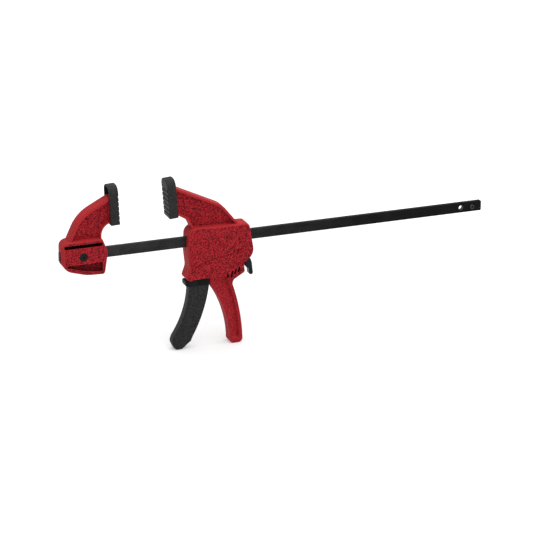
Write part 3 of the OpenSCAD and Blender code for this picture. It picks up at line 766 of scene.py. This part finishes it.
def handle_recess():
    foot = TIP + 6.2
    heights = [-40 - i * 2.5 for i in range(int((-40 - foot) / 2.5))]
    heights = [z for z in heights if z > foot + 3.2]
    heights += [foot + 3 * (1 - math.sin(math.pi / 2 * i / 6)) for i in range(7)]
    rings = []
    for z in heights:
        rise = min(1.0, max(0.0, (z - foot) / 3))
        open_ = math.sqrt(max(0.0, 1 - (1 - rise) ** 2))
        front, rear = x_at(RECESS_FRONT, z), x_at(RECESS_REAR, z)
        middle, half = (front + rear) / 2, (rear - front) / 2 * (0.72 + 0.28 * open_)
        front, rear = middle - half, middle + half
        deep = RECESS_DEPTH * (0.06 + 0.94 * open_)
        surface = -HANDLE_HALF
        section = [(front - 0.9, surface - 1), (front - 0.9, surface - 0.05),
                   (front + 0.3, surface + 0.1 * deep), (rear - 1.3, surface + 0.93 * deep),
                   (rear - 0.6, surface + deep), (rear - 0.15, surface + 0.8 * deep),
                   (rear, surface + 0.35 * deep), (rear + 0.12, surface + 0.1),
                   (rear + 0.5, surface - 0.1), (rear + 0.5, surface - 1)]
        rings.append([head(x, y, z) for x, y in section])
    return skin("recess", rings)


# %% Outside of one shell
def shell_outside(name):
    shell = plate(name, BODY, -PANEL_HALF, 0, 2.6, 0.12, head, 6)
    cut(shell, plate("step", BELOW_PANEL, -20, -BODY_HALF, 0, 0.2, head, 3))
    sweep = [point for point in rounded(BELOW_PANEL) if point[1] > -53.9][:-1]
    groove = sweep + [(x + 0.35, z - 1.1) for x, z in reversed(sweep)]
    cut(shell, plate("groove", [(x, z, 0) for x, z in groove], -20, -9.4, to_frame=head))
    arm = plate("arm", MOVING_ARM, -ARM_HALF, 0, 0.9, 0.1, head)
    cut(arm, pocket("web", inset_walls(MOVING_ARM, MOVING_WALLS), -ARM_HALF, -WEB_HALF,
                    0.5, 0.9, head))
    cut(arm, pad_space(on_moving_pad))
    end = jaw_end(on_moving_pad)
    cut(end, box("far half", (0, 0, 0), (100, 30, 120)))
    grip = plate("grip", HANDLE, -HANDLE_HALF, 0, 1.3, 0.1, head)
    cut(grip, handle_recess())
    return join(shell, arm, end, grip)


def louvre(x, z, tall, slant):
    lean = Matrix.Rotation(math.radians(-slant), 2)
    corners = []
    for a, b in ((-1, -1), (-1, 1), (1, 1), (1, -1)):
        p = lean @ Vector((a * LOUVRE_HALF, b * tall / 2))
        corners.append((x + p.x, z + p.y, LOUVRE_END))
    return corners


# %% Inside of one shell
def shell_inside(shell):
    cut(shell, plate("cavity", CAVITY, -CAVITY_HALF, 1, to_frame=head),
        plate("well", TRIGGER_WELL, -WELL_HALF, 1, to_frame=head))
    wall = CAVITY_HALF + 0.3
    for name, low, high in (("spring rib", (47.7, -30), (50.2, 15.3)),
                            ("brake rib", (54.2, -30), (56.7, -14)),
                            ("fulcrum", (62, -13), (66.9, -8.2)),
                            ("plate stop", (22, 8.2), (24.7, 15.6))):
        join(shell, box(name, (low[0], -wall, low[1]), (high[0], -0.01, high[1]), head))
    for x, z in BODY_SCREWS[:2]:
        join(shell, rod("boss", x, z, 3.4, -wall, -0.01, head))
    join(shell, rod("pivot boss", *PIVOT, 5, -wall, -6.3, head))
    cut(shell, box("bar way", (-10, -2.8, -6.3), (90, 1, 6.3), head),
        plate("lever gate", LEVER_GATE, -6.4, 1, to_frame=head),
        rod("pivot hole", *PIVOT, 3.02, -9.1, 1, head))
    for x, z in BODY_SCREWS:
        cut(shell, rod("pilot", x, z, PILOT_RADIUS, -7, 1, head, sides=20))
    for x, z in HANDLE_SCREWS:
        cut(shell, rod("pilot", x, z, PILOT_RADIUS, -3.6, 1, head, sides=20))


# %% Both shells
near_shell = shell_outside("head_shell_near")
for values in LOUVRES:
    cut(near_shell, pocket("louvre", louvre(*values), -BODY_HALF, LOUVRE_FLOOR, 0.2, 0.2,
                           head))
shell_inside(near_shell)

far_shell = near_shell.copy()
far_shell.data = near_shell.data.copy()
far_shell.name = far_shell.data.name = "head_shell_far"
bpy.context.scene.collection.objects.link(far_shell)
far_shell.data.transform(Matrix.Scale(-1, 4, (0, 1, 0)))
far_shell.data.flip_normals()
for places, seat in ((BODY_SCREWS, 7.8), (HANDLE_SCREWS, 2.2)):
    for x, z in places:
        cut(far_shell, rod("shank way", x, z, SHANK_WAY_RADIUS, -1, 20, head, sides=20),
            rod("counterbore", x, z, COUNTERBORE_RADIUS, seat, 20, head))

for shell, node in ((near_shell, "moving_jaw_near"), (far_shell, "moving_jaw_far")):
    shade(shell)
    # The louvres get the painted deep shade of a slot.
    paint_red(shell, [ARM_HALF],
              [(louvre(*values), BODY_HALF, IN_SLOT_PAINTED_SHADE) for values in LOUVRES], head(0, 0, 0))
    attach(shell, "head")
    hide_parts(node)

# %% [markdown]
# ## The trigger
# The trigger hangs on a pin low in the head. Its nose pushes the drive plates
# when the grip is squeezed. Below the head it widens to a collar that keeps
# fingers out of the gap, and a grained sleeve covers the grip's core.

# %% Trigger outlines
def grip_outline(top):
    return ([(2.2, top, 0), (26.3, top, 0)] + bow((26.3, -52.4), (6.3, -112.4), 3, 12)
            + [(3.9, TIP + 8.8, 4), (-7, TIP, 4), (-15, TIP, 5), (-18.9, TIP + 9.5, 6)]
            + bow((-16.9, -111), (2.2, -52.4), -4.4, 12))


NECK = [(9.5, -24, 0), (21.6, -24, 0), (23.4, -33, 0), (22.6, -37.6, 1), (21, -40.2, 1.5),
        (22.2, -43.2, 1.5), (24.6, -46.5, 0), (3.9, -46.5, 0), (3.9, -40, 2), (7, -33, 4)]
COLLAR = [(-2.4, -45.3, 1.6), (1, -45.4, 0), (3.9, -46.2, 0), (5.3, -45.2, 0),
          (26.3, -45.2, 1), (26.1, -52.3, 1), (1.4, -52.3, 1), (-1.9, -51.4, 1.3)]
GRIP_HALF, SKIN = 6.3, 2.6

# %% Build the trigger and its sleeve
trigger = plate("trigger_core", COLLAR, -6.6, 6.6, 0.8, 0.8, head)
join(trigger, plate("neck", NECK, -6, 6, 0.4, 0.4, head, 2),
     rod("hub", *PIVOT, 6.5, -6, 6, head, 0.3), rod("nose", 21.1, -34.5, 3.6, -6, 6, head, 0.3),
     plate("core", inset(grip_outline(-50 + SKIN), SKIN), -GRIP_HALF + SKIN, GRIP_HALF - SKIN,
           to_frame=head))
cut(trigger, rod("pin hole", *PIVOT, 3.05, -9, 9, head))

sleeve = plate("trigger_sleeve", grip_outline(-48), -GRIP_HALF, GRIP_HALF, 2.2, 2.2, head, 6)
cut(sleeve, box("above", (-30, -9, -52.35), (40, 9, -40), head),
    plate("core space", inset(grip_outline(-51.9 + SKIN), SKIN - 0.03),
          -GRIP_HALF + SKIN - 0.03, GRIP_HALF - SKIN + 0.03, to_frame=head))

for piece, material, slot, node in ((trigger, COLLAR_PLASTIC, "black_plastic", "trigger"),
                                    (sleeve, GRIP_RUBBER, "grip_rubber", "trigger_grip")):
    shade(piece)
    finish(piece, material)
    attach(piece, "trigger")
    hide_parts(node)

# %% [markdown]
# ## The release lever
# The tail of the brake plate comes out behind the head and carries a smooth
# cap: a short head against the body and a tongue for the thumb.

# %% Build the release lever
LEVER_HEAD = [(69.1, -27.5, 0.8), (75.6, -27.5, 1.5), (77.2, -33, 2), (77.8, -39, 0),
              (74.3, -39.6, 0), (70.8, -38.4, 1.3), (69.1, -35.6, 1)]
LEVER_TONGUE = [(73.6, -34, 0), (77.6, -34, 0), (79.1, -46.1, 1.9), (77, -48.1, 1.2),
                (74.4, -46.7, 1.2)]
BRAKE_TILT = math.radians(4.5)
FULCRUM_X, FULCRUM_Z = 67.3, -10


def on_brake_plate(x, y, z):
    c, s = math.cos(BRAKE_TILT), math.sin(BRAKE_TILT)
    return head(FULCRUM_X + x * c - z * s, y, FULCRUM_Z + x * s + z * c)


lever = plate("release_lever_cap", LEVER_HEAD, -6, 6, 1.0, 1.0, head, 4)
join(lever, plate("tongue", LEVER_TONGUE, -4.5, 4.5, 1.0, 1.0, head, 4))
cut(lever, box("plate way", (-3, -4.53, -22.1), (3.03, 4.53, -10), on_brake_plate))
shade(lever)
finish(lever, LEVER_PLASTIC)
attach(lever, "brake")
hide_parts("release_lever")

# %% [markdown]
# ## Camera
# The photograph was taken from the left and above with a long lens, so the
# lines along the bar stay almost parallel. The camera looks at a point just
# under the bar, a little behind the head.

# %% Camera
AZIMUTH, ELEVATION = math.radians(-20.46), math.radians(20.48)
DISTANCE, FOCAL_PIXELS, IMAGE_PIXELS, SENSOR = 3.060, 2715.0, 540.0, 36.0
to_camera = Vector((math.sin(AZIMUTH) * math.cos(ELEVATION),
                    -math.cos(AZIMUTH) * math.cos(ELEVATION), math.sin(ELEVATION)))
picture_right = Vector((math.cos(AZIMUTH), math.sin(AZIMUTH), 0))
picture_up = to_camera.cross(picture_right)
aim = bench(180.2, 0, 0) - picture_up * 0.0440

camera_data = bpy.data.cameras.new("camera")
camera_data.sensor_width = SENSOR
camera_data.lens = FOCAL_PIXELS * SENSOR / IMAGE_PIXELS
camera_data.clip_end = 20
camera = bpy.data.objects.new("camera", camera_data)
camera.location = aim + to_camera * DISTANCE
camera.rotation_euler = (-to_camera).to_track_quat("-Z", "Y").to_euler()
bpy.context.scene.collection.objects.link(camera)
bpy.context.scene.camera = camera
print("lens", round(camera_data.lens, 1), "mm")

# %% [markdown]
# ## Floor and light
# The clamp stands on the tips of its trigger and handle in a white studio. The
# floor glows a little for the camera and for mirrored rays only, less near the
# clamp than far out, which makes it white but leaves the soft shadows. A broad
# lamp above makes the upward faces the brightest, as in the photograph, and the
# world fills the rest evenly.

# %% Floor
FLOOR_REACH = 4.0
GLOW_NEAR, GLOW_FAR = (0.32, 0.32, 0.32, 1), (0.7, 0.7, 0.7, 1)
GLOW_FROM, GLOW_TO = 0.2, 0.8    # metres from the middle of the floor

bpy.context.scene.view_settings.view_transform = "Standard"

floor = mesh_object("floor", [(x * FLOOR_REACH, y * FLOOR_REACH, 0)
                              for x, y in ((-1, -1), (1, -1), (1, 1), (-1, 1))],
                    [(0, 1, 2, 3)])
paper = Recipe("white paper", Roughness=0.9, Specular_IOR_Level=0.0)
paper.shader.inputs["Base Color"].default_value = (0.82, 0.82, 0.82, 1)
seen = (paper.node("ShaderNodeLightPath", output="Is Camera Ray")
        + paper.node("ShaderNodeLightPath", output="Is Glossy Ray")
        + paper.node("ShaderNodeLightPath", output="Is Transmission Ray"))
outward = paper.node("ShaderNodeVectorMath", {"operation": "LENGTH"}, [paper.here()], output=1)
glow = paper.mix(paper.band(outward, GLOW_FROM, GLOW_TO), GLOW_NEAR, GLOW_FAR)
paper.shader.inputs["Emission Strength"].default_value = 1.0
paper.feed("Emission Color", paper.mix(seen, (0, 0, 0, 1), glow))
finish(floor, paper.material)


# %% World and lamps
FILL_LIGHT, WHITE_BACKDROP = 0.4, 1.0

world = bpy.data.worlds.new("studio")
bpy.context.scene.world = world
world.use_nodes = True
sky = world.node_tree
backdrop = sky.nodes["Background"]
backdrop.inputs["Color"].default_value = (1, 1, 1, 1)
rays = sky.nodes.new("ShaderNodeLightPath")
mirrored = sky.nodes.new("ShaderNodeMath")
mirrored.operation = "MAXIMUM"
sky.links.new(rays.outputs["Is Glossy Ray"], mirrored.inputs[0])
sky.links.new(rays.outputs["Is Transmission Ray"], mirrored.inputs[1])
shown = sky.nodes.new("ShaderNodeMath")
shown.operation = "MAXIMUM"
sky.links.new(rays.outputs["Is Camera Ray"], shown.inputs[0])
sky.links.new(mirrored.outputs[0], shown.inputs[1])
level = sky.nodes.new("ShaderNodeMapRange")
level.inputs["To Min"].default_value = FILL_LIGHT
level.inputs["To Max"].default_value = WHITE_BACKDROP
sky.links.new(shown.outputs[0], level.inputs["Value"])
sky.links.new(level.outputs[0], backdrop.inputs["Strength"])


def lamp(name, place, size, power, target=(0, 0, 0.12)):
    data = bpy.data.lights.new(name, "AREA")
    data.shape, data.size, data.energy = "SQUARE", size, power
    thing = bpy.data.objects.new(name, data)
    thing.location = place
    look = Vector(target) - Vector(place)
    thing.rotation_euler = look.to_track_quat("-Z", "Y").to_euler()
    bpy.context.scene.collection.objects.link(thing)


lamp("overhead", (0.1, -0.2, 1.9), 2.4, 33)
lamp("front", (0.1, -2.2, 0.9), 1.2, 8.5)
